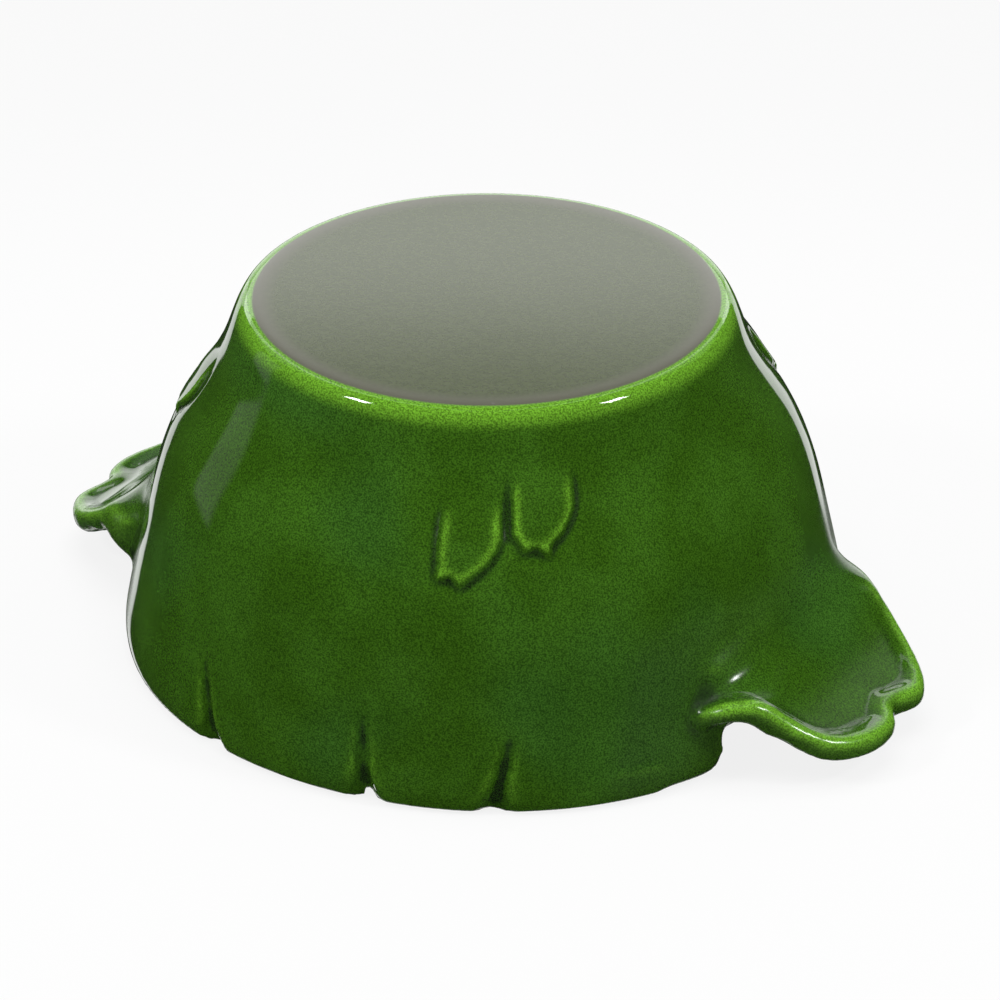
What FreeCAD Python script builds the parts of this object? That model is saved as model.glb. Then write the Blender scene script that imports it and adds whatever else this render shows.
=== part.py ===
# Casserole pot in enamelled cast iron, formed like an artichoke head. It stands upside down on its mouth, as it is
# put away to dry, with the flat cooking base on top. It is one casting: wall, lid seat, leaf handles and petals.
# Millimetres. Z is up. The origin is the centre of the mouth, at the level that the pot stands on, and the two
# handles reach out along +X and -X.
import FreeCAD, Part
import os
from math import cos, exp, pi, radians, sin, sqrt
from FreeCAD import Vector

# Overall sizes of the wall
pot_height = 118.2
rim_radius = 113.5
shoulder_height = 61.0
shoulder_radius = 103.0
waist_height = 96.5
waist_radius = 84.4
base_flat_radius = 73.0
base_edge_round = 3.4
base_lean = 23.0
rim_edge_round = 2.5
section_step = 15
section_start = -125

# The mouth: a skirt of leaves round a recess for the lid, the seat, and the inside of the pot
skirt_height = 9.5
lid_recess_radius = 106.2
seat_width = 4.4
wall_thickness = 5.0
floor_thickness = 5.5
inside_round = 14.0

# Leaves of the rim: flattened front and back, and parted by grooves that run out up the wall.
# A groove has its angle at the rim, on the front side, and the angle that it leans by up to its end, in degrees.
rim_swell = 0.6
rim_flattening = 3.2
flattening_half_angle = 60.0
leaf_fade_height = 52.0
groove_depth = 4.6
groove_half_width = 2.6
groove_mouth_flare = 4.2
groove_flare_height = 6.0
groove_length = 39.0
groove_lines = ((-107.6, -3.9), (-78.0, -0.8), (-57.8, 4.4))

# Small petals that stand out from the shoulder. Each has its angle on the front side, the height of its tip,
# half its width, and how far the tip sits to one side.
petal_relief = 1.3
petal_length = 24.0
petal_notch = 1.6
petal_sink = 0.6
petal_places = ((-61.6, 72.4, 9.0, -6.0), (-47.6, 79.8, 9.2, -3.2), (-152.0, 76.0, 9.2, -3.0))

# Leaf handles
leaf_reach = 35.6
leaf_half_width = 46.0
leaf_thickness = 6.6
leaf_edge_round = 2.9
bead_width = 5.0
bead_height = 1.1
leaf_tip_height = 14.0
leaf_dish_height = 19.8
leaf_root_height = 58.0
leaf_root_half_width = 48.0
leaf_sink = 2.0
leaf_flank_width = 30.0
arch_half_width = 36.5
arch_corner_round = 7.5


def smooth_step(low, high, value):
    t = min(1.0, max(0.0, (value - low) / (high - low)))
    return t * t * (3.0 - 2.0 * t)


def spline(points):
    curve = Part.BSplineCurve()
    curve.interpolate(points)
    return curve


# Outer wall
def round_points(centre_radius, centre_height, size, angles):
    return [Vector(centre_radius + size * cos(radians(angle)), 0, centre_height + size * sin(radians(angle)))
            for angle in angles]


rim_round = round_points(rim_radius - rim_edge_round, rim_edge_round, rim_edge_round, (-90, -45, 0))
base_round = round_points(base_flat_radius, pot_height - base_edge_round, base_edge_round,
                          (base_lean, 0.5 * (90 + base_lean), 90))
wall_curve = spline([
    rim_round[-1],
    Vector(rim_radius, 0, 0.13 * shoulder_height),
    Vector(0.54 * rim_radius + 0.46 * shoulder_radius, 0, 0.6 * shoulder_height),
    Vector(shoulder_radius, 0, shoulder_height),
    Vector(0.58 * shoulder_radius + 0.42 * waist_radius, 0, 0.5 * (shoulder_height + waist_height)),
    Vector(waist_radius, 0, waist_height),
    Vector(0.4 * waist_radius + 0.6 * base_round[0].x, 0, 0.4 * waist_height + 0.6 * base_round[0].z),
    base_round[0],
])


def wall_radius(height):
    low, high = wall_curve.FirstParameter, wall_curve.LastParameter
    for _ in range(40):
        middle = 0.5 * (low + high)
        if wall_curve.value(middle).z < height:
            low = middle
        else:
            high = middle
    return wall_curve.value(low).x


def leaf_swell(angle, height):
    side = abs(abs(angle) - 90.0) / flattening_half_angle
    flattening = rim_flattening * cos(0.5 * pi * min(1.0, side)) ** 2
    return (rim_swell - flattening) * (1.0 - smooth_step(0, leaf_fade_height, height))


def wall_row(place):
    # One closed section of the wall, at a point of its profile.
    points = []
    for angle in range(section_start, section_start + 360, section_step):
        radius = place.x + leaf_swell((angle + 180) % 360 - 180, place.z)
        points.append(Vector(radius * cos(radians(angle)), radius * sin(radians(angle)), place.z))
    return points


def skin(rows, row_places):
    # A smooth closed surface through all the rows, and the solid that it bounds with two flat ends.
    sections = []
    for points in rows:
        section = Part.BSplineCurve()
        section.interpolate(Points=points, PeriodicFlag=True, Parameters=list(range(len(points) + 1)))
        sections.append(section)
    columns = []
    for index in range(sections[0].NbPoles):
        column = Part.BSplineCurve()
        column.interpolate(Points=[s.getPole(index + 1) for s in sections], Parameters=row_places)
        columns.append(column)
    surface = Part.BSplineSurface()
    surface.buildFromPolesMultsKnots(
        [column.getPoles() for column in columns],
        sections[0].getMultiplicities(), columns[0].getMultiplicities(),
        sections[0].getKnots(), columns[0].getKnots(), True, False, 3, 3)
    side = surface.toShape()
    ends = [edge for edge in side.Edges if edge.BoundBox.ZLength < 1e-6]
    caps = [Part.Face(Part.Wire([edge])) for edge in ends]
    shell = Part.Shell([side] + caps)
    shell.sewShape()
    return Part.Solid(shell)


def make_wall():
    profile = rim_round[:-1] + wall_curve.discretize(10) + base_round[1:]
    travelled = [0.0]
    for point, following in zip(profile, profile[1:]):
        travelled.append(travelled[-1] + point.distanceToPoint(following))
    return skin([wall_row(place) for place in profile], travelled)


def make_groove(angle, lean):
    # Tapered cutter between two leaves: a rounded valley that narrows and runs out up the wall.
    sections = []
    for share in (-0.12, 0.0, 0.15, 0.4, 0.7, 1.0, 1.12):
        height = share * groove_length
        above = max(0.0, height)
        half = groove_half_width + groove_mouth_flare * exp(-above / groove_flare_height)
        depth = groove_depth * (1.0 - share) ** 0.8 if share < 1.0 else groove_depth * (1.0 - share)
        at = angle + lean * share
        radius = wall_radius(above) + leaf_swell(at, above)
        points = []
        for stop in (-1.5, -1.0, -0.55, 0.0, 0.55, 1.0, 1.5):
            out = radius - depth + groove_depth * 0.9 * abs(stop) ** 1.3
            points.append(Vector(out, stop * half, height))
        valley = spline(points).toShape()
        section = Part.Wire([valley, line(points[-1], points[0])])
        sections.append(section.rotated(Vector(0, 0, 0), Vector(0, 0, 1), at))
    return Part.makeLoft(sections, True)


def extruded(outline, start, direction):
    face = Part.Face(outline)
    face.translate(start)
    return face.extrude(direction)


def revolved(points_and_curves):
    return Part.Face(Part.Wire(points_and_curves)).revolve(Vector(0, 0, 0), Vector(0, 0, 1), 360)


def line(start, end):
    return Part.makeLine(start, end)


# Leaf handles
def leaf_rise(share):
    # Height of the leaf's upper side, from the rim's radius (0) to the tip (1).
    return leaf_tip_height + leaf_dish_height * (1.0 - share) ** 2


def leaf_centre_line():
    out_of_wall = ((1.0, -leaf_sink), (0.79, 1.3), (0.66, 2.7))
    points = [Vector(wall_radius(part * leaf_root_height) + proud, 0, part * leaf_root_height)
              for part, proud in out_of_wall]
    for share in (0.0, 0.15, 0.3, 0.5, 0.7, 0.85, 1.0, 1.2):
        points.append(Vector(rim_radius + share * leaf_reach, 0, leaf_rise(share)))
    return spline(points)


def leaf_blank(lift):
    # All that lies under the leaf's upper side. Near the wall that side bends round to run into it.
    rows = []
    for point in leaf_centre_line().discretize(18):
        upper = smooth_step(0.4 * leaf_root_height, 0.85 * leaf_root_height, point.z)
        flat_to = leaf_half_width * (1.0 - upper)
        row = []
        for step in range(-11, 12):
            y = 0.13 * step * leaf_half_width
            hidden = sqrt((wall_radius(point.z) - leaf_sink) ** 2 - y * y)
            share = 1.0 - smooth_step(flat_to, flat_to + leaf_flank_width, abs(y))
            row.append(Vector(hidden + (point.x - hidden) * share, y, point.z))
        rows.append(row)
    surface = Part.BSplineSurface()
    surface.interpolate(rows)
    side = surface.toShape()
    side.translate(Vector(0.5 * lift, 0, lift))
    return side.extrude(Vector(0, 0, -2.0 * leaf_root_height))


def leaf_edge():
    # Shares of the reach and of the half width, from one side over the two lobes and the notch to the other side.
    stations = (
        (0.06, -0.97), (0.19, -0.885), (0.377, -0.80), (0.5, -0.755), (0.62, -0.71), (0.74, -0.64),
        (0.84, -0.55), (0.93, -0.42), (0.98, -0.285), (0.985, -0.165), (0.95, -0.05),
        (0.87, 0.02), (0.843, 0.065), (0.855, 0.12), (0.885, 0.19), (0.93, 0.295), (0.925, 0.39),
        (0.865, 0.485), (0.767, 0.585), (0.66, 0.66), (0.57, 0.715), (0.38, 0.805), (0.19, 0.88), (0.06, 0.96))
    root_x = sqrt((wall_radius(0.45 * leaf_root_height) - leaf_sink) ** 2 - leaf_root_half_width ** 2)
    points = [Vector(rim_radius + reach * leaf_reach, across * leaf_half_width, 0) for reach, across in stations]
    return spline([Vector(root_x, -leaf_root_half_width, 0)] + points + [Vector(root_x, leaf_root_half_width, 0)])


def inner_edge():
    # Inner side of the bead: the leaf's edge moved in along its normals.
    edge = leaf_edge()
    points = []
    for step in range(41):
        at = edge.FirstParameter + (edge.LastParameter - edge.FirstParameter) * step / 40
        along = edge.tangent(at)[0]
        points.append(edge.value(at) + Vector(-along.y, along.x, 0) * bead_width)
    into_wall = Vector(2.0 * bead_width, 0, 0)
    return spline([points[0] - into_wall] + points + [points[-1] - into_wall])


def closed_outline(curve):
    return Part.Wire([curve.toShape(), line(curve.EndPoint, curve.StartPoint)])


def leaf_underside():
    # What is cut away under the leaf, as a side view drawn out across its width.
    points = []
    for share in (1.3, 1.0, 0.8, 0.6, 0.4, 0.2, 0.05):
        slope = 2.0 * leaf_dish_height * (1.0 - min(share, 1.0)) / leaf_reach
        drop = leaf_thickness * sqrt(1.0 + slope * slope)
        points.append(Vector(rim_radius + share * leaf_reach, 0, leaf_rise(min(share, 1.0)) - drop))
    top = spline(points).toShape()
    wall_end = Vector(rim_radius - leaf_reach, 0, points[-1].z)
    low_end = Vector(wall_end.x, 0, -5)
    low_tip = Vector(points[0].x, 0, -5)
    outline = Part.Wire([top, line(points[-1], wall_end), line(wall_end, low_end), line(low_end, low_tip),
                         line(low_tip, points[0])])
    width = 3.0 * leaf_half_width
    return extruded(outline, Vector(0, -0.5 * width, 0), Vector(0, width, 0))


def make_leaf():
    outline = closed_outline(leaf_edge())
    up = Vector(0, 0, 2.0 * leaf_root_height)
    plate = leaf_blank(bead_height).common(extruded(outline, Vector(0, 0, 0), up))
    plate = plate.cut(leaf_underside())
    rim_edges = [edge for edge in plate.Edges if follows_outline(edge)]
    plate = plate.makeFillet(leaf_edge_round, rim_edges)
    hollow = leaf_blank(2.0 * bead_width).common(extruded(closed_outline(inner_edge()), Vector(0, 0, 0), up))
    hollow = hollow.cut(leaf_blank(0.0))
    return plate.cut(hollow)


def follows_outline(edge):
    # The long edges round the leaf, above and below, reach from the tip back into the wall.
    box = edge.BoundBox
    return box.XMax > rim_radius + 0.9 * leaf_reach and box.YLength > leaf_half_width


# Openings
def make_arch():
    # The gap in the skirt under a handle, with a ceiling that rises from the lid seat to the leaf's underside.
    inner = lid_recess_radius - 0.5 * seat_width
    ceiling = 0.8 * skirt_height
    rise = leaf_tip_height + 0.28 * leaf_dish_height - ceiling
    corners = [Vector(inner, 0, -5), Vector(inner, 0, ceiling), Vector(inner + rise, 0, ceiling + rise),
               Vector(inner + rise, 0, -5)]
    ring = turned(revolved([line(corner, following) for corner, following in zip(corners, corners[1:] + corners[:1])]),
                  90)
    half = arch_half_width
    low = half + arch_corner_round
    sunk = 0.08 * arch_corner_round
    middle = (1.0 - sqrt(0.5)) * arch_corner_round
    top = ceiling + 2.0 * rise
    x = 0.5 * rim_radius
    points = [Vector(x, -half, top), Vector(x, half, top), Vector(x, half, arch_corner_round - sunk),
              Vector(x, low, -sunk), Vector(x, low, -5), Vector(x, -low, -5), Vector(x, -low, -sunk),
              Vector(x, -half, arch_corner_round - sunk)]
    right_round = Part.Arc(points[2], Vector(x, half + middle, middle - sunk), points[3]).toShape()
    left_round = Part.Arc(points[6], Vector(x, -half - middle, middle - sunk), points[7]).toShape()
    outline = Part.Wire([line(points[0], points[1]), line(points[1], points[2]), right_round,
                         line(points[3], points[4]), line(points[4], points[5]), line(points[5], points[6]),
                         left_round, line(points[7], points[0])])
    return ring.common(extruded(outline, Vector(0, 0, 0), Vector(rim_radius, 0, 0)))


def inside_radius(height):
    slope = wall_radius(height + 0.5) - wall_radius(height - 0.5)
    return wall_radius(height) - wall_thickness * sqrt(1.0 + slope * slope)


def make_mouth():
    # The recess for the lid, the seat and the inside of the pot in one turned shape.
    top = pot_height - floor_thickness
    straight_to = 0.34 * top
    side = [Vector(lid_recess_radius - seat_width, 0, skirt_height)]
    for step in range(6):
        height = straight_to + (top - straight_to) * step / 5
        side.append(Vector(inside_radius(height), 0, height))
    corners = [side[-1], Vector(0, 0, top), Vector(0, 0, -skirt_height),
               Vector(lid_recess_radius, 0, -skirt_height), Vector(lid_recess_radius, 0, skirt_height), side[0]]
    flats = [line(corner, following) for corner, following in zip(corners, corners[1:])]
    inside = revolved(flats + [spline(side).toShape()])
    floor_edges = [edge for edge in inside.Edges if edge.BoundBox.ZMin > top - 0.01 and edge.Closed]
    return inside.makeFillet(inside_round, floor_edges)


# Small petals on the shoulder
def petal_outline(half_width, tip_shift):
    h, k, tall = half_width, tip_shift, petal_length
    left = [Vector(0, -0.72 * h, tall), Vector(0, -0.97 * h, 0.55 * tall), Vector(0, -1.05 * h, 0.22 * tall),
            Vector(0, k - 0.39 * h, 0.03 * tall)]
    right = [Vector(0, k + 0.39 * h, -0.03 * tall), Vector(0, 0.55 * h, 0.2 * tall), Vector(0, h, 0.5 * tall),
             Vector(0, 0.9 * h, tall)]
    notch = Vector(0, k, petal_notch)
    return Part.Wire([spline(left).toShape(), line(left[-1], notch), line(notch, right[0]), spline(right).toShape(),
                      line(right[-1], left[0])])


def make_petal(angle, tip_height, half_width, tip_shift):
    outer = []
    inner = []
    for step in range(9):
        height = tip_height + petal_length * (-0.15 + 1.3 * step / 8)
        faded = smooth_step(0.35 * petal_length, petal_length, height - tip_height)
        relief = petal_relief - (petal_relief + petal_sink) * faded
        outer.append(Vector(wall_radius(height) + relief, 0, height))
        inner.append(Vector(wall_radius(height) - 0.5 * wall_thickness, 0, height))
    ring = revolved([spline(outer).toShape(), line(outer[-1], inner[-1]), spline(inner).toShape(),
                     line(inner[0], outer[0])])
    shape = extruded(petal_outline(half_width, tip_shift), Vector(0.6 * base_flat_radius, 0, tip_height),
                     Vector(rim_radius, 0, 0))
    return turned(shape.common(turned(ring, 90)), angle)


def turned(shape, angle):
    return shape.rotated(Vector(0, 0, 0), Vector(0, 0, 1), angle)


def mirrored(shape):
    return shape.mirror(Vector(0, 0, 0), Vector(0, 1, 0))


os.makedirs("parts", exist_ok=True)
arch = make_arch()
leaf = make_leaf()
petals = [make_petal(*place) for place in petal_places]
grooves = [make_groove(*groove) for groove in groove_lines]
pot = make_wall().cut([arch, turned(arch, 180)])
pot = pot.fuse([leaf, turned(leaf, 180)])
pot = pot.cut(make_mouth())
pot = pot.fuse(petals + [mirrored(petal) for petal in petals])
pot = pot.cut(grooves + [mirrored(groove) for groove in grooves])
print("cast pot", pot.isValid(), len(pot.Faces), "faces", len(pot.Solids), "solid")
pot.exportStep("parts/casserole_pot.step")
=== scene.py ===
# %% [markdown]
# # An enamelled cast iron casserole pot, upside down
# The pot is shaped like an artichoke head and stands on its mouth, with the cooking base on top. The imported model
# gives the form in its right size and place. This lesson gives it the soft, glassy skin of real enamel.

# %% Load the frame
from math import radians

import bpy
import numpy as np
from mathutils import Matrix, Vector


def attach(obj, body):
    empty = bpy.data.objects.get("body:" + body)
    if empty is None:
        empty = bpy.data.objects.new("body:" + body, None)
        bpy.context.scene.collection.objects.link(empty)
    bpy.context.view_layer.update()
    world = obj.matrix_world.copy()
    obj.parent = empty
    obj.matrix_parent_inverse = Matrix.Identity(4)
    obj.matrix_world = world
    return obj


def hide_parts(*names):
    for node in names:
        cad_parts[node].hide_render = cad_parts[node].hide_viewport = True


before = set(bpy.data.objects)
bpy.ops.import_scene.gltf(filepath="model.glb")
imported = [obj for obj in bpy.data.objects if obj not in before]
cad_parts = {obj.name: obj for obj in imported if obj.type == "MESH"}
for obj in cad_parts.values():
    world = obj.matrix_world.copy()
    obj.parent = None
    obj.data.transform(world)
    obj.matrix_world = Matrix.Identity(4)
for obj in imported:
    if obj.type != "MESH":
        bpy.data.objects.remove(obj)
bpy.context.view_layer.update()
scene = bpy.context.scene
scene.view_settings.view_transform = "Standard"

# %% [markdown]
# ## Helpers
# Edit operators act on whatever is selected, so each step first selects the one object that it works on. The corners
# of a mesh are read and moved as one table of numbers, which is quick enough for a few hundred thousand of them.

# %% Select, apply and read
MM = 0.001


def pick(thing):
    if bpy.context.object and bpy.context.object.mode != "OBJECT":
        bpy.ops.object.mode_set(mode="OBJECT")
    bpy.ops.object.select_all(action="DESELECT")
    thing.select_set(True)
    bpy.context.view_layer.objects.active = thing


def finish_with(thing, kind, **settings):
    pick(thing)
    step = thing.modifiers.new(kind.title(), kind)
    for name, value in settings.items():
        setattr(step, name, value)
    bpy.ops.object.modifier_apply(modifier=step.name)


def corners_of(thing):
    places = np.empty(len(thing.data.vertices) * 3)
    thing.data.vertices.foreach_get("co", places)
    return places.reshape(-1, 3)


def move_corners(thing, places):
    thing.data.vertices.foreach_set("co", places.reshape(-1).astype(np.float32))
    thing.data.update()


# %% Soft limits
def smooth_step(low, high, value):
    share = np.clip((value - low) / (high - low), 0.0, 1.0)
    return share * share * (3.0 - 2.0 * share)


def window(value, rise_from, rise_to, fall_from, fall_to):
    return smooth_step(rise_from, rise_to, value) * (1.0 - smooth_step(fall_from, fall_to, value))


print("half way up a soft limit:", smooth_step(0.0, 1.0, 0.5))

# %% [markdown]
# ## Smoothing where it is wanted
# A file smooths an iron casting more in some places than in others. In Blender the Smooth modifier takes a vertex
# group, whose weights say how much each corner moves. The weights are rounded to a few levels, so that each level is
# written once for all its corners.

# %% Soften a part of the mesh
WEIGHT_LEVELS = 20


def weigh(thing, name, weights):
    group = thing.vertex_groups.new(name=name)
    levels = np.round(weights * WEIGHT_LEVELS).astype(int)
    for level in range(1, WEIGHT_LEVELS + 1):
        members = np.nonzero(levels == level)[0]
        if len(members):
            group.add(members.tolist(), level / WEIGHT_LEVELS, "REPLACE")
    return group.name


def soften(thing, name, weights, passes):
    finish_with(thing, "SMOOTH", factor=0.5, iterations=passes, vertex_group=weigh(thing, name, weights))
    print("softened", name, int(np.count_nonzero(weights > 0.025)), "corners,", passes, "passes")


# %% [markdown]
# ## The wall's profile
# The wall is a bell that widens from the base to the mouth. These radii at these heights say how far out plain wall
# lies, so that a step can tell the wall from what stands out of it. Measuring the mesh itself would do too, but a
# table is plainer and doesn't change as the mesh does.

# %% Wall radius at a height, in millimetres
PROFILE = np.array((
    (0.0, 113.5), (8.0, 113.5), (15.0, 112.9), (25.0, 111.2), (35.0, 109.0), (45.0, 106.95), (55.0, 104.7),
    (65.0, 101.6), (75.0, 97.2), (85.0, 91.3), (92.0, 86.9), (98.0, 83.7), (104.0, 81.1), (110.0, 78.7),
    (118.2, 75.3)))
BASE_HEIGHT = 118.2
BASE_FLAT_RADIUS = 73.0


def wall_radius(height):
    return np.interp(height, PROFILE[:, 0], PROFILE[:, 1])


print("wall radius at mid height", round(float(wall_radius(BASE_HEIGHT / 2.0)), 1), "mm")

# %% [markdown]
# ## The casting
# Cast iron has no sharp corner, and enamel rounds it further. The pot could be modelled again by hand, but the packed
# one already has the right form. So a copy of it is merged and turned into an even skin of small squares by a voxel
# remesh. An even skin can then be smoothed and pushed about without a seam showing.

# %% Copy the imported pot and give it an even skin
SKIN_STEP = 1.15 * MM
MERGE_STEP = 0.01 * MM
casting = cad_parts["casserole_pot"].copy()
casting.data = casting.data.copy()
casting.parent = None
casting.name = casting.data.name = "casserole_casting"
casting.animation_data_clear()
for key in list(casting.keys()):
    del casting[key]
scene.collection.objects.link(casting)
pick(casting)
bpy.ops.object.mode_set(mode="EDIT")
bpy.ops.mesh.select_all(action="SELECT")
bpy.ops.mesh.remove_doubles(threshold=MERGE_STEP)
bpy.ops.object.mode_set(mode="OBJECT")
finish_with(casting, "REMESH", mode="VOXEL", voxel_size=SKIN_STEP)
print("skin", len(casting.data.vertices), "corners")

# %% [markdown]
# ## The roots of the leaves
# On the real pot each leaf handle grows out of the wall in one sweep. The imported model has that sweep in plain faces,
# a little too full on one side. It could be sculpted by hand. A formula does it the same way on both leaves: it limits
# how far a leaf stands out of the wall at each height, and smoothing does the rest.

# %% Draw the roots back towards the wall
# How far a leaf may stand out of the wall at a height. This fades out towards both sides of the leaf.
ROOT_HEIGHTS = (30.0, 31.5, 34.0, 38.3, 45.8, 58.0)
ROOT_REACHES = (40.0, 8.0, 4.3, 2.7, 1.3, 0.0)
ROOT_FADE = (38.0, 47.0)
ROOT_SAG, ROOT_SAG_FROM, ROOT_SAG_TO = 2.5, 20.0, 42.0
LEAST_REACH = 0.05
LEAN_FROM, LEAN_TO = -12.0, 6.0
HANDLE_START = 88.0
places = corners_of(casting) / MM
along, across, height = places[:, 0], places[:, 1], places[:, 2]
aside = np.abs(across)
radius = np.hypot(along, across)
proud = radius - wall_radius(height)
by_handle = (np.abs(along) > HANDLE_START) & (height > 12.0) & (height < 62.0) & (proud > -1.5)
sagging = height + ROOT_SAG * smooth_step(ROOT_SAG_FROM, ROOT_SAG_TO, aside)
reach = np.interp(sagging, ROOT_HEIGHTS, ROOT_REACHES) * (1.0 - smooth_step(*ROOT_FADE, aside)) + LEAST_REACH
limited = np.maximum(proud, 0.0) / (1.0 + (np.maximum(proud, 0.0) / reach) ** 4) ** 0.25
leaning = 1.0 - smooth_step(LEAN_FROM, LEAN_TO, across * np.sign(along))
print("leaf roots", int(np.count_nonzero(by_handle)), "corners")

# %% Fill and trim the other side of each root, then smooth the sweep
FILL, FILL_ASIDE, FILL_WIDTH, FILL_HEIGHT, FILL_TALL = 1.8, 37.0, 9.0, 44.0, 6.0
TRIM, TRIM_ASIDE, TRIM_WIDTH, TRIM_HEIGHT, TRIM_TALL = 1.6, 46.0, 6.0, 33.0, 4.5
fill = FILL * np.exp(-((aside - FILL_ASIDE) / FILL_WIDTH) ** 2 - ((height - FILL_HEIGHT) / FILL_TALL) ** 2)
trim = TRIM * np.exp(-((aside - TRIM_ASIDE) / TRIM_WIDTH) ** 2 - ((height - TRIM_HEIGHT) / TRIM_TALL) ** 2)
stands_out = proud + leaning * (limited - proud) + (1.0 - leaning) * (fill - trim)
new_radius = np.where(by_handle & (proud > 0.0), wall_radius(height) + stands_out, radius)
root = by_handle * window(height, 22.0, 30.0, 56.0, 62.0)
places[:, :2] *= (new_radius / radius)[:, None]
move_corners(casting, places * MM)
soften(casting, "leaf root", root, 40)

# %% [markdown]
# ## The bead round each leaf
# The leaf's edge is a full round bead that stands up above the dished leaf and sinks back into the wall at both ends.
# It could be bevelled from the leaf's edge, but a curve with a round section draws it in one go and keeps it round.
# The curve becomes a mesh and is joined and remeshed with the rest, so that bead and leaf are one casting.

# %% The bead's line, in millimetres
LEAF_START = 113.5
LEAF_REACH = 35.6
LEAF_HALF_WIDTH = 46.0
BEAD_ROUND = 3.5
BEAD_SINK = 0.3
BEAD_TOP = 26.4
BEAD_TIP = 11.8
BEAD_FALL = 19.8
# Each station is a share of the leaf's reach and of its half width.
BEAD_STATIONS = (
    (0.06, -0.97), (0.19, -0.885), (0.377, -0.80), (0.5, -0.755), (0.62, -0.71), (0.74, -0.64),
    (0.84, -0.55), (0.93, -0.42), (0.98, -0.285), (0.985, -0.165), (0.95, -0.05),
    (0.87, 0.02), (0.843, 0.065), (0.855, 0.12), (0.885, 0.19), (0.93, 0.295), (0.925, 0.39),
    (0.865, 0.485), (0.767, 0.585), (0.66, 0.66), (0.57, 0.715), (0.38, 0.805), (0.19, 0.88), (0.06, 0.96))
# The last points at each end lead into the wall, where the bead fades out. One end sinks lower than the other.
BEAD_ROOT = ((99.0, 44.0, 19.5), (108.0, 45.0, 24.5))
LOW_END = 2.4
LOW_END_REACH = 14.0


def bead_height(share):
    return min(BEAD_TOP, BEAD_TIP + BEAD_FALL * (1.0 - share) ** 2)


def lowered(x, y, z):
    share = min(1.0, max(0.0, 1.0 - (x - LEAF_START) / LOW_END_REACH))
    return x, y, z - LOW_END * share * (y > 0.0)


def bead_line():
    edge = np.array([(LEAF_START + out * LEAF_REACH, side * LEAF_HALF_WIDTH) for out, side in BEAD_STATIONS])
    steps = np.gradient(edge, axis=0)
    inward = np.stack([-steps[:, 1], steps[:, 0]], axis=1) / np.linalg.norm(steps, axis=1)[:, None]
    edge = edge + inward * (BEAD_ROUND - BEAD_SINK)
    line = [lowered(x, y, bead_height((x - LEAF_START) / LEAF_REACH)) for x, y in edge]
    roots = [[lowered(x, side * y, z) for x, y, z in BEAD_ROOT] for side in (-1.0, 1.0)]
    return roots[0] + line + roots[1][::-1]


print("bead line", len(bead_line()), "points")

# %% Draw the bead as a round curve
def make_bead(name, turn):
    line = bpy.data.curves.new(name, "CURVE")
    line.dimensions = "3D"
    line.bevel_depth = BEAD_ROUND * MM
    line.bevel_resolution = 6
    line.use_fill_caps = True
    line.resolution_u = 8
    run = line.splines.new("NURBS")
    points = bead_line()
    run.points.add(len(points) - 1)
    for place, (x, y, z) in zip(run.points, points):
        place.co = (turn * x * MM, turn * y * MM, z * MM, 1.0)
    run.order_u = 3
    run.use_endpoint_u = True
    bead = bpy.data.objects.new(name, line)
    scene.collection.objects.link(bead)
    pick(bead)
    bpy.ops.object.convert(target="MESH")
    return bpy.context.object


# %% Join the beads and remesh
beads = [make_bead("bead_right", 1.0), make_bead("bead_left", -1.0)]
pick(casting)
for bead in beads:
    bead.select_set(True)
bpy.ops.object.join()
casting.vertex_groups.clear()
finish_with(casting, "REMESH", mode="VOXEL", voxel_size=SKIN_STEP)
print("skin with beads", len(casting.data.vertices), "corners")

# %% [markdown]
# ## Petals and grooves
# The head's leaves show as six small petals on the shoulder and six grooves that rise from the mouth. The grooves are
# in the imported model. Both are listed here because the next step must leave them crisp.

# %% Where the petals and grooves are
PETAL_RELIEF = 1.5
PETAL_LENGTH = 24.0
PETAL_NOTCH = 1.6
# Each petal has an angle, the height of its tip, half its width, and how far the tip sits to one side.
PETALS = [(side * angle, tip, half, shift) for side in (-1.0, 1.0) for angle, tip, half, shift in (
    (61.6, 72.4, 9.0, -6.0), (47.6, 79.8, 9.2, -3.2), (152.0, 76.0, 9.2, -3.0))]
# Each groove has an angle at the mouth and how far it leans by its top, both in degrees.
GROOVES = [(side * angle, side * lean) for side in (-1.0, 1.0) for angle, lean in (
    (107.6, 3.9), (78.0, 0.8), (57.8, -4.4))]
GROOVE_TOP = 39.0
print(len(PETALS), "petals,", len(GROOVES), "grooves")

# %% [markdown]
# ## Smoothing by place
# On the real pot plain wall is smooth and even, while grooves, petals, beads and the two rims are as crisp as glazed
# relief can be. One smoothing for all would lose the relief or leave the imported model's facets. So plain wall gets
# many light passes, and each kind of detail gets its own few.

# %% Smooth the plain wall, outside and inside
places = corners_of(casting) / MM
along, across, height = places[:, 0], places[:, 1], places[:, 2]
radius = np.hypot(along, across)
turn = np.degrees(np.arctan2(across, along))
near_petal = np.zeros(len(places))
for petal, tip_height, half_width, tip_shift in PETALS:
    apart = np.abs((turn - petal + 180.0) % 360.0 - 180.0)
    near_petal = np.maximum(near_petal, 1.0 - smooth_step(11.0, 13.0, apart))
near_petal *= window(height, 64.0, 68.0, 106.0, 110.0)
near_groove = np.zeros(len(places))
for angle, lean in GROOVES:
    apart = np.abs(turn - angle - lean * height / GROOVE_TOP)
    near_groove = np.maximum(near_groove, 1.0 - smooth_step(5.0, 7.0, apart))
near_handle = smooth_step(84.0, 90.0, np.abs(along))
upper = window(height, 44.0, 50.0, 108.0, 112.0) * (1.0 - near_petal)
lower = window(height, 7.0, 12.0, 44.0, 50.0) * (1.0 - near_groove) * (1.0 - near_handle)
inside = (radius < wall_radius(height) - 3.0) & (height > 12.0) & (height < 115.0)
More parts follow.
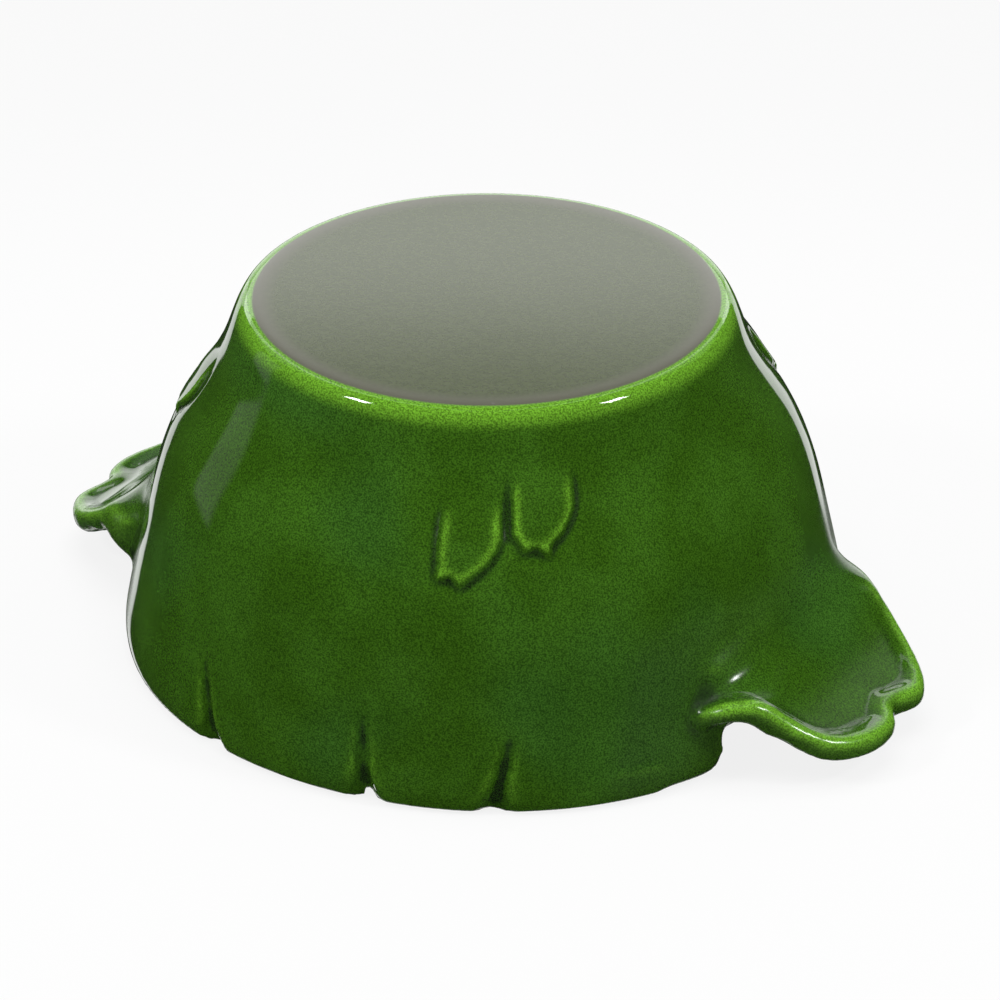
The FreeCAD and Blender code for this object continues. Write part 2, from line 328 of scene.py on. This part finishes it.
soften(casting, "plain wall", np.where(inside, 1.0, np.maximum(upper, lower)), 60)

# %% Smooth the ends of the beads and arches, and the edge of the base
aside = np.abs(across)
out = np.abs(along)
near_wall = (radius - wall_radius(height) < 14.0) & (out > 84.0)
bead_ends = near_wall * window(aside, 34.0, 40.0, 52.0, 58.0) * window(height, 14.0, 18.0, 36.0, 42.0)
soften(casting, "bead ends", bead_ends, 16)
arch_ends = smooth_step(84.0, 92.0, out) * window(aside, 30.0, 36.0, 54.0, 60.0)
soften(casting, "arch ends", arch_ends * (1.0 - smooth_step(15.0, 19.0, height)), 60)
root_ends = (along * across > 0.0) * smooth_step(84.0, 90.0, out) * window(aside, 18.0, 26.0, 56.0, 62.0)
soften(casting, "root ends", root_ends * window(height, 31.0, 36.0, 70.0, 76.0), 120)
soften(casting, "base edge", smooth_step(108.0, 112.0, height) * smooth_step(62.0, 66.0, radius), 10)

# %% [markdown]
# ## Raise the petals
# Each petal stands out from the shoulder by little more than a millimetre, with a soft edge and a shallow valley round
# it. Cut pieces of sheet would leave a step, so the wall itself is raised: the distance of every corner of the mesh
# from a petal's outline says how far that corner rises.

# %% The petal's outline, and the distance from it
def petal_outline(half_width, tip_shift):
    half, tip, tall = half_width, tip_shift, PETAL_LENGTH
    return np.array([
        (-0.72 * half, tall), (-0.90 * half, 0.75 * tall), (-0.98 * half, 0.55 * tall), (-1.04 * half, 0.38 * tall),
        (-1.03 * half, 0.22 * tall), (tip - 0.39 * half, 0.03 * tall), (tip, PETAL_NOTCH),
        (tip + 0.39 * half, -0.03 * tall), (0.1 * half, 0.07 * tall), (0.55 * half, 0.2 * tall),
        (0.86 * half, 0.35 * tall), (half, 0.5 * tall), (half, 0.75 * tall), (0.9 * half, tall)])


def depth_inside(outline, across, up):
    nearest = np.full(len(across), 1e9)
    inside = np.zeros(len(across), dtype=bool)
    for (ax, ay), (bx, by) in zip(outline, np.roll(outline, -1, axis=0)):
        share = ((across - ax) * (bx - ax) + (up - ay) * (by - ay)) / ((bx - ax) ** 2 + (by - ay) ** 2)
        share = np.clip(share, 0.0, 1.0)
        nearest = np.minimum(nearest, np.hypot(across - ax - share * (bx - ax), up - ay - share * (by - ay)))
        crosses = (ay > up) != (by > up)
        inside ^= crosses & (across < ax + (up - ay) * (bx - ax) / (by - ay if by != ay else 1.0))
    return np.where(inside, nearest, -nearest)


# %% Raise them from the plain wall
EDGE_HALF = 0.7
VALLEY_DEPTH, VALLEY_OFFSET, VALLEY_WIDTH = 0.35, 1.8, 1.3
places = corners_of(casting) / MM
height = places[:, 2]
radius = np.hypot(places[:, 0], places[:, 1])
turn = np.degrees(np.arctan2(places[:, 1], places[:, 0]))
outside = radius > wall_radius(height) - 2.5
clear = outside & (np.abs(np.abs(turn) - 112.0) < 14.0) & (height > 55.0) & (height < 112.0)
rings = np.arange(56.0, 112.0)
ring_radii = np.array([radius[clear & (np.abs(height - ring) < 0.8)].mean() for ring in rings])
for petal, tip_height, half_width, tip_shift in PETALS:
    apart = (turn - petal + 180.0) % 360.0 - 180.0
    above = height - tip_height
    close = outside & (np.abs(apart) < 13.0) & (above > -4.0) & (above < PETAL_LENGTH + 4.0)
    plain_radius = np.interp(height[close], rings, ring_radii)
    sideways = -np.sign(petal) * np.radians(apart[close]) * plain_radius
    depth = depth_inside(petal_outline(half_width, tip_shift), sideways, above[close])
    rise = 1.0 - smooth_step(0.55 * PETAL_LENGTH, PETAL_LENGTH, above[close])
    valley = VALLEY_DEPTH * np.exp(-((depth + VALLEY_OFFSET) / VALLEY_WIDTH) ** 2)
    lift = rise * (PETAL_RELIEF * smooth_step(-EDGE_HALF, EDGE_HALF, depth) - valley)
    share = smooth_step(-4.0, -2.5, depth)
    places[close, :2] *= (1.0 + share * ((plain_radius + lift) / radius[close] - 1.0))[:, None]
    print("petal at", petal, "degrees,", int(np.count_nonzero(depth > 0.0)), "corners raised")
move_corners(casting, places * MM)
finish_with(casting, "SMOOTH", factor=0.5, iterations=4)

# %% [markdown]
# ## Where enamel is thin
# Molten enamel draws back from ridges and pools in hollows, so ridges are pale and hollows are dark. Blender can paint
# this by hand, but the mesh knows it: how far each corner stands out from its neighbours says which is which. That and
# the way each corner faces are kept as two attributes for the material. The material uses the second to paint shade:
# pale ridges are made darker where they face down.

# %% Ridge and upward attributes
def spread(values, pairs, count, passes):
    for _ in range(passes):
        total = np.zeros_like(values)
        np.add.at(total, pairs[:, 0], values[pairs[:, 1]])
        np.add.at(total, pairs[:, 1], values[pairs[:, 0]])
        values = 0.5 * values + 0.5 * total / count
    return values


def mark_corners(thing, name, values):
    mark = thing.data.attributes.new(name, "FLOAT", "POINT")
    mark.data.foreach_set("value", values.astype(np.float32))
    print(name, [round(float(v), 3) for v in np.percentile(values, (1, 10, 50, 90, 99))])


def mark_ridges(thing):
    places = corners_of(thing) / MM
    pairs = np.empty(len(thing.data.edges) * 2, dtype=np.int64)
    thing.data.edges.foreach_get("vertices", pairs)
    pairs = pairs.reshape(-1, 2)
    count = np.maximum(np.bincount(pairs.reshape(-1), minlength=len(places)), 1).astype(float)
    normals = np.empty(len(places) * 3)
    thing.data.vertices.foreach_get("normal", normals)
    normals = normals.reshape(-1, 3)
    middle = np.stack([spread(places[:, axis].copy(), pairs, count, 6) for axis in range(3)], axis=1)
    ridge = np.einsum("ij,ij->i", places - middle, normals)
    mark_corners(thing, "ridge", spread(ridge, pairs, count, 3))
    # Which way each corner faces, up or down; the material paints shade with it on down-facing ridges.
    mark_corners(thing, "upward", normals[:, 2])


mark_ridges(casting)

# %% [markdown]
# ## A lighter mesh
# Flat wall needs fewer squares than beads do. Decimate takes out the corners that matter least and keeps the form.

# %% Thin out the mesh and shade it smooth
FACES_KEPT = 97000.0
finish_with(casting, "DECIMATE", ratio=min(1.0, FACES_KEPT / len(casting.data.polygons)))
pick(casting)
bpy.ops.object.shade_smooth()
print("casting", sum(len(face.vertices) - 2 for face in casting.data.polygons), "triangles")

# %% [markdown]
# ## Materials as sums
# A material is a graph of nodes. It could be wired by hand, node by node. Written as sums on sockets, the same graph
# reads like a recipe.

# %% A socket that can be added and multiplied
class Sum:
    def __init__(self, recipe, socket):
        self.recipe = recipe
        self.socket = socket

    def math(self, operation, first, second):
        return self.recipe.node("ShaderNodeMath", {"operation": operation}, {0: first, 1: second})

    def __add__(self, other):
        return self.math("ADD", self, other)

    def __radd__(self, other):
        return self.math("ADD", other, self)

    def __sub__(self, other):
        return self.math("SUBTRACT", self, other)

    def __rsub__(self, other):
        return self.math("SUBTRACT", other, self)

    def __mul__(self, other):
        return self.math("MULTIPLY", self, other)

    def __rmul__(self, other):
        return self.math("MULTIPLY", other, self)

    def part(self, index):
        return Sum(self.recipe, self.socket.node.outputs[index])


# %% A recipe of nodes
class Recipe:
    def __init__(self, holder):
        holder.use_nodes = True
        self.holder = holder
        self.nodes = holder.node_tree.nodes
        self.links = holder.node_tree.links
        self.nodes.clear()

    def node(self, kind, settings, sockets, output=0):
        made = self.nodes.new(kind)
        for name, value in settings.items():
            setattr(made, name, value)
        for name, value in sockets.items():
            if isinstance(value, Sum):
                self.links.new(value.socket, made.inputs[name])
            else:
                made.inputs[name].default_value = value
        return Sum(self, made.outputs[output]) if len(made.outputs) else None

    def place(self):
        return self.node("ShaderNodeTexCoord", {}, {}, 3)

    def vector(self, operation, first, second, output=0):
        return self.node("ShaderNodeVectorMath", {"operation": operation}, {0: first, 1: second}, output)

    def size(self, value):
        return self.node("ShaderNodeMath", {"operation": "ABSOLUTE"}, {0: value})

    def angle(self, side, front):
        return self.node("ShaderNodeMath", {"operation": "ARCTAN2"}, {0: side, 1: front})

    def noise(self, where, size, detail=2.0):
        return self.node("ShaderNodeTexNoise", {}, {"Vector": where, "Scale": 1.0 / size, "Detail": detail})

    def ramp(self, value, low, high, start=0.0, end=1.0):
        return self.node("ShaderNodeMapRange", {"interpolation_type": "SMOOTHSTEP"},
                         {"Value": value, "From Min": low, "From Max": high, "To Min": start, "To Max": end})

    def window(self, value, rise_from, rise_to, fall_from, fall_to):
        return self.ramp(value, rise_from, rise_to) * self.ramp(value, fall_from, fall_to, 1.0, 0.0)

    def blend(self, share, first, second):
        return self.node("ShaderNodeMix", {"data_type": "RGBA"}, {0: share, 6: first, 7: second}, 2)

    def show(self, surface, kind="ShaderNodeOutputMaterial"):
        self.node(kind, {}, {"Surface": surface})
        print(self.holder.name, len(self.nodes), "nodes")
        return self.holder


# %% [markdown]
# ## Green enamel
# The finish is a glassy coat over a dark iron body: deep green with a fine speckle and cloudy depth, pale on ridges
# and round the edge of the base, and dark in hollows. The pale ridges are painted darker where they face down, which
# is painted shade. A thin second layer of glass could be modelled, but a glossy green with these changes of colour
# reads the same and is one plain surface. Where the leaves flare out of the wall it is a little duller, and the flat
# base is rubbed satin and looks grey.

# %% Colours of the enamel
ENAMEL_DEEP = (0.026, 0.078, 0.004, 1.0)
ENAMEL_BODY = (0.034, 0.100, 0.007, 1.0)
ENAMEL_COOL = (0.026, 0.092, 0.020, 1.0)
ENAMEL_THIN = (0.11, 0.28, 0.018, 1.0)
ENAMEL_POOLED = (0.006, 0.022, 0.002, 1.0)
SATIN_DARK = (0.036, 0.049, 0.014, 1.0)
SATIN_PALE = (0.048, 0.063, 0.020, 1.0)
SATIN_WORN = (0.080, 0.078, 0.056, 1.0)
SPECKLE_SIZE = 0.5 * MM
CLOUD_SIZE = 22.0 * MM
DRIFT_SIZE = 60.0 * MM
GRAIN_SIZE = 1.2 * MM
ORANGE_PEEL_SIZE = 6.0 * MM
print("enamel body", ENAMEL_BODY[:3], "satin base", SATIN_PALE[:3])

# %% Colour and roughness over the surface
def enamel_colour(recipe, place, ridge, level):
    upward = recipe.node("ShaderNodeAttribute", {"attribute_name": "upward"}, {}, 2)
    cloud = recipe.noise(place, CLOUD_SIZE, 3.0)
    drift = recipe.noise(place, DRIFT_SIZE, 1.0)
    speckle = recipe.noise(place, SPECKLE_SIZE, 3.0)
    colour = recipe.blend(recipe.ramp(cloud, 0.35, 0.68), ENAMEL_DEEP, ENAMEL_BODY)
    colour = recipe.blend(recipe.ramp(drift, 0.52, 0.72, 0.0, 0.25), colour, ENAMEL_COOL)
    # Pale on ridges, where enamel is thin, but faded where the ridge faces down: that fading is painted shade.
    colour = recipe.blend(recipe.ramp(ridge, 0.012, 0.20) * recipe.ramp(upward, -0.35, 0.7), colour, ENAMEL_THIN)
    colour = recipe.blend(recipe.ramp(level, 111.8 * MM, 116.0 * MM, 0.0, 0.8), colour, ENAMEL_THIN)
    colour = recipe.blend(recipe.ramp(ridge, -0.16, -0.015, 0.75, 0.0), colour, ENAMEL_POOLED)
    light = recipe.ramp(speckle, 0.32, 0.68, 0.52, 1.48)
    return recipe.node("ShaderNodeVectorMath", {"operation": "SCALE"}, {0: colour, 3: light})


def satin_colour(recipe, place, out):
    grain = recipe.noise(place, GRAIN_SIZE, 4.0)
    satin = recipe.blend(recipe.ramp(grain, 0.35, 0.65), SATIN_DARK, SATIN_PALE)
    return recipe.blend(recipe.ramp(out, 64.0 * MM, 71.0 * MM, 0.0, 0.85), satin, SATIN_WORN)


def enamel_roughness(recipe, sideways, ridge, level, on_base):
    low_down = recipe.ramp(level, 45.0 * MM, 60.0 * MM, 1.0, 0.0)
    flare = recipe.window(sideways, 84.0 * MM, 92.0 * MM, 106.0 * MM, 114.0 * MM) * low_down
    bead = recipe.ramp(sideways, 104.0 * MM, 112.0 * MM) * recipe.ramp(ridge, 0.012, 0.12) * low_down
    hollow = recipe.ramp(ridge, -0.12, -0.03, 1.0, 0.0)
    return 0.05 + on_base * 0.18 + flare * 0.18 + hollow * 0.22 + bead * 0.15


# %% The enamel
def green_enamel():
    recipe = Recipe(bpy.data.materials.new("green_enamel"))
    place = recipe.place()
    parts = recipe.node("ShaderNodeSeparateXYZ", {}, {0: place})
    level = parts.part(2)
    ridge = recipe.node("ShaderNodeAttribute", {"attribute_name": "ridge"}, {}, 2)
    out = recipe.vector("LENGTH", recipe.vector("MULTIPLY", place, (1.0, 1.0, 0.0)), (0.0, 0.0, 0.0), 1)
    on_base = recipe.ramp(level, (BASE_HEIGHT - 0.35) * MM, (BASE_HEIGHT - 0.1) * MM)
    on_base = on_base * recipe.ramp(out, (BASE_FLAT_RADIUS - 1.2) * MM, (BASE_FLAT_RADIUS - 0.2) * MM, 1.0, 0.0)
    colour = recipe.blend(on_base, enamel_colour(recipe, place, ridge, level), satin_colour(recipe, place, out))
    roughness = enamel_roughness(recipe, recipe.size(parts), ridge, level, on_base)
    bump = recipe.node("ShaderNodeBump", {}, {
        "Strength": 0.06, "Distance": 0.2 * MM, "Height": recipe.noise(place, ORANGE_PEEL_SIZE, 2.0)})
    return recipe.show(recipe.node("ShaderNodeBsdfPrincipled", {}, {
        "Base Color": colour, "Roughness": roughness, "IOR": 1.5, "Normal": bump}))


casting.data.materials.clear()
casting.data.materials.append(green_enamel())
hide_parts("casserole_pot")
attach(casting, "root")

# %% [markdown]
# ## A white studio
# The pot stands on a white floor under white light. Strong light would make the background white but bleach the pot.
# So the floor and the sky are bright only where the camera sees them, and light the pot more gently.

# %% World
SKY_LIGHT = 0.3


def studio_world():
    recipe = Recipe(bpy.data.worlds.new("studio"))
    path = recipe.node("ShaderNodeLightPath", {}, {})
    camera_ray, glossy_ray, transmission_ray = path.part(0), path.part(3), path.part(6)
    strength = recipe.ramp(camera_ray + glossy_ray + transmission_ray, 0.0, 1.0, SKY_LIGHT, 1.0)
    light = recipe.node("ShaderNodeBackground", {}, {"Color": (1.0, 1.0, 1.0, 1.0), "Strength": strength})
    return recipe.show(light, "ShaderNodeOutputWorld")


scene.world = studio_world()

# %% Floor
FLOOR_GREY = (0.65, 0.65, 0.65, 1.0)
FLOOR_GLOW = 0.85


def white_floor():
    recipe = Recipe(bpy.data.materials.new("white_floor"))
    camera_ray = recipe.node("ShaderNodeLightPath", {}, {}, 0)
    matt = recipe.node("ShaderNodeBsdfDiffuse", {}, {"Color": FLOOR_GREY})
    bright = recipe.node("ShaderNodeEmission", {}, {"Color": (1.0, 1.0, 1.0, 1.0), "Strength": 1.0})
    return recipe.show(recipe.node("ShaderNodeMixShader", {}, {0: camera_ray * FLOOR_GLOW, 1: matt, 2: bright}))


bpy.ops.object.select_all(action="DESELECT")
bpy.ops.mesh.primitive_plane_add(size=30.0, location=(0.0, 0.0, -0.0002))
floor = bpy.context.object
floor.name = "floor"
floor.data.materials.append(white_floor())
floor.visible_glossy = False

# %% [markdown]
# ## Light tent
# A glossy skin shows what stands round it. Photographers hang dark cloth and narrow white panels, whose streaks run
# down both sides of a pot. Real panels would get in the way of the lamps and the camera, so a large sphere that only
# reflections see carries cloth and panels as a pattern. Each panel is given by its direction from the pot, measured
# from the camera's side.

# %% Cloth and panels
UP = Vector((0.0, 0.0, 1.0))
CAMERA_SIDE = Vector((0.5225, -0.8527, 0.0))
CAMERA_RIGHT = Vector((0.8541, 0.5201, 0.0))
CLOTH_LIGHT = 0.015
STRIP_LIGHT = 1.3
BACK_LIGHT = 1.7
HIGH_LIGHT = 0.4
PANEL_LIGHT = 0.36


def tent_cloth():
    recipe = Recipe(bpy.data.materials.new("tent_cloth"))
    way = recipe.vector("NORMALIZE", recipe.place(), (0.0, 0.0, 0.0))
    front, side, up = [recipe.vector("DOT_PRODUCT", way, axis, 1) for axis in (CAMERA_SIDE, CAMERA_RIGHT, UP)]
    from_behind = recipe.angle(recipe.size(side), 0.0 - front)
    strip = recipe.window(from_behind, radians(19.5), radians(20.5), radians(29.0), radians(30.0))
    back = recipe.ramp(front, -0.96, -0.90, 1.0, 0.0) * recipe.window(up, -0.17, -0.12, 0.43, 0.50)
    high = recipe.ramp(front, -0.55, -0.35, 1.0, 0.0) * recipe.window(up, 0.44, 0.60, 0.75, 0.9)
    panel = recipe.window(recipe.angle(side, front), radians(-122.0), radians(-119.0), radians(-108.0), radians(-104.0))
    panel = panel * recipe.window(up, -0.07, -0.02, 0.3, 0.5)
    level = CLOTH_LIGHT + strip * STRIP_LIGHT + back * BACK_LIGHT + high * HIGH_LIGHT + panel * PANEL_LIGHT
    return recipe.show(recipe.node("ShaderNodeEmission", {}, {"Color": level, "Strength": 1.0}))


# %% Tent
bpy.ops.object.select_all(action="DESELECT")
bpy.ops.mesh.primitive_uv_sphere_add(segments=64, ring_count=32, radius=6.0, location=(0.0, 0.0, 0.0))
tent = bpy.context.object
tent.name = "light_tent"
tent.data.materials.append(tent_cloth())
tent.visible_camera = False
tent.visible_diffuse = False
tent.visible_transmission = False
tent.visible_shadow = False
tent.visible_volume_scatter = False

# %% [markdown]
# ## Lamps
# Two small lamps at both sides of the camera give the two bright spots on the edge of the base. A long low one stands
# behind, and a large one above, which reflections don't see, fills the rest. Sunlight would be simpler, but its spots
# would be too sharp for a lamp in a studio.

# %% Hang the lamps
LAMP_AIM = Vector((0.0, 0.0, 0.06))


def soft_lamp(name, way, distance, size, power):
    lamp = bpy.data.lights.new(name, "AREA")
    lamp.shape = "RECTANGLE"
    lamp.size, lamp.size_y = size
    lamp.energy = power
    holder = bpy.data.objects.new(name, lamp)
    scene.collection.objects.link(holder)
    way = way.normalized()
    holder.location = way * distance + LAMP_AIM
    holder.rotation_euler = way.to_track_quat("Z", "Y").to_euler()
    holder.visible_camera = False
    print(name, [round(v, 3) for v in holder.location], power, "W")
    return holder


for name, side in (("right_lamp", 1.0), ("left_lamp", -1.0)):
    soft_lamp(name, CAMERA_SIDE * 0.305 + CAMERA_RIGHT * 0.683 * side + UP * 0.665, 1.2, (0.18, 0.18), 4.6)
soft_lamp("back_lamp", UP * 0.168 - CAMERA_SIDE * 0.26, 0.31, (0.45, 0.07), 0.2)
soft_lamp("top_lamp", UP + CAMERA_SIDE * 0.12, 1.3, (1.0, 1.0), 14.0).visible_glossy = False

# %% [markdown]
# ## Camera
# A long lens from well away keeps the pot's sides nearly parallel. It looks down at the pot by about 29 degrees and
# across its handles.

# %% Set the camera
lens = bpy.data.cameras.new("camera")
lens.lens = 202.28
lens.sensor_width = 36.0
camera = bpy.data.objects.new("camera", lens)
scene.collection.objects.link(camera)
camera.location = (0.80803, -1.31883, 0.89529)
camera.rotation_euler = (radians(61.243), 0.0, radians(31.343))
scene.camera = camera
print("camera", round(Vector(camera.location).length, 3), "m from the pot")
